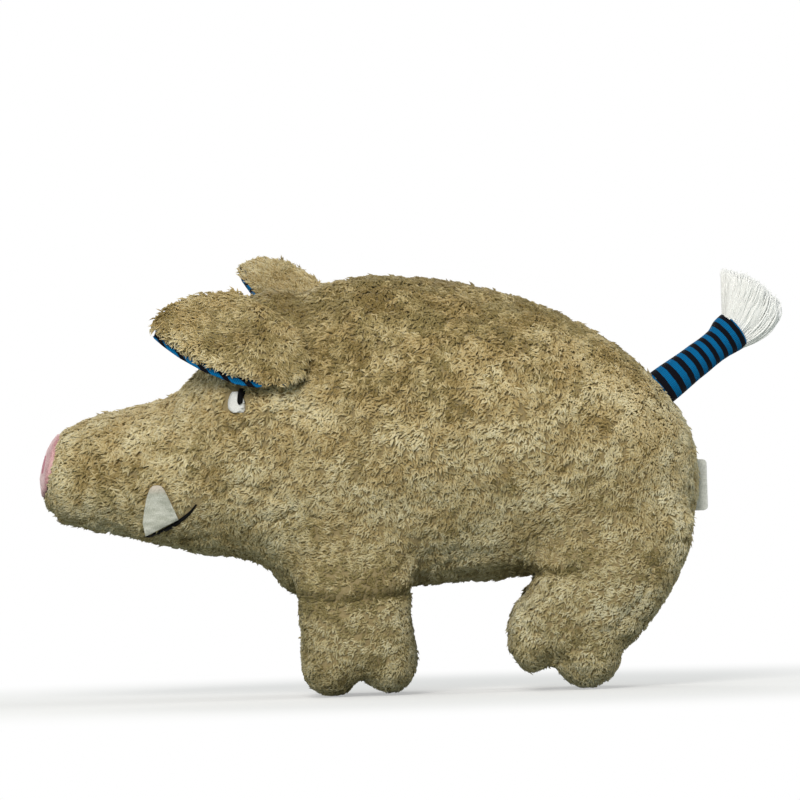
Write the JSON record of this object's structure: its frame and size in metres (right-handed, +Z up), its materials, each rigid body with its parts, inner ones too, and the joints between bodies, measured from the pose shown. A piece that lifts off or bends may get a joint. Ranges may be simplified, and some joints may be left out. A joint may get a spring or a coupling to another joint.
{
  "type": "plush pig",
  "caption": "Stuffed wild boar piglet in long-pile plush, standing, with leaf ears, felt tusks, velour snout and a striped tail that ends in a yarn tassel.",
  "frame": {"origin": "middle of the bounding box, on the floor the toy stands on", "axes": "+X from the snout towards the tail, +Y towards the animal's right side, +Z up"},
  "size_m": [0.3726, 0.1514, 0.22],
  "materials": {
    "plush": "long-pile teddy plush, matt, darker at the roots",
    "stuffing": "loose polyester filling",
    "velour": "short-pile velour, matt",
    "nostril_thread": "satin stitch",
    "white_thread": "satin stitch, slight sheen",
    "black_thread": "satin stitch, slight sheen",
    "felt": "felt, matt",
    "striped_jersey": "knitted jersey with blue and near-black stripes, matt",
    "yarn": "loose yarn strands",
    "label_tape": "woven tape, bare"
  },
  "bodies": {
    "torso": {"body_skin": "plush", "body_stuffing": "stuffing", "head_skin": "plush", "head_stuffing": "stuffing", "leg_front_left_skin": "plush", "leg_front_right_skin": "plush", "leg_front_left_stuffing": "stuffing", "leg_front_right_stuffing": "stuffing", "leg_rear_left_skin": "plush", "leg_rear_right_skin": "plush", "leg_rear_left_stuffing": "stuffing", "leg_rear_right_stuffing": "stuffing", "snout_patch": "velour", "nostril_left": "nostril_thread", "nostril_right": "nostril_thread", "eye_left_white": "white_thread", "eye_right_white": "white_thread", "eye_left_pupil": "black_thread", "eye_right_pupil": "black_thread", "mouth_left": "black_thread", "mouth_right": "black_thread", "tusk_left": "felt", "tusk_right": "felt"},
    "ear_left": {"ear_left_plush": "plush", "ear_left_lining": "striped_jersey"},
    "ear_right": {"ear_right_plush": "plush", "ear_right_lining": "striped_jersey"},
    "tail": {"tail_sleeve": "striped_jersey", "tail_stuffing": "stuffing"},
    "tassel": {"tail_tassel": "yarn"},
    "label": {"label": "label_tape"}
  },
  "joints": [
    {"name": "ear_left_lift", "type": "hinge", "parent": "torso", "child": "ear_left", "pos_m": [-0.06424, -0.05261, 0.18708], "axis": [-0.6355, 0.3601, 0.683], "range_deg": [0, 85], "stiffness_Nm_per_rad": 0.01},
    {"name": "ear_right_lift", "type": "hinge", "parent": "torso", "child": "ear_right", "pos_m": [-0.06424, 0.02461, 0.18708], "axis": [0.6355, 0.3601, -0.683], "range_deg": [-40, 45], "stiffness_Nm_per_rad": 0.01},
    {"name": "tail_wag", "type": "hinge", "parent": "torso", "child": "tail", "pos_m": [0.134, -0.014, 0.15451], "axis": [-0.585, 0, 0.8111], "range_deg": [-60, 60], "stiffness_Nm_per_rad": 0.02},
    {"name": "tassel_flop", "type": "hinge", "parent": "tail", "child": "tassel", "pos_m": [0.16303, -0.014, 0.17545], "axis": [0, 1, 0], "range_deg": [-15, 15], "stiffness_Nm_per_rad": 0.004},
    {"name": "label_flap", "type": "hinge", "parent": "torso", "child": "label", "pos_m": [0.14453, -0.014, 0.0994], "axis": [0, 0, 1], "range_deg": [-80, 80], "stiffness_Nm_per_rad": 0.002}
  ]
}
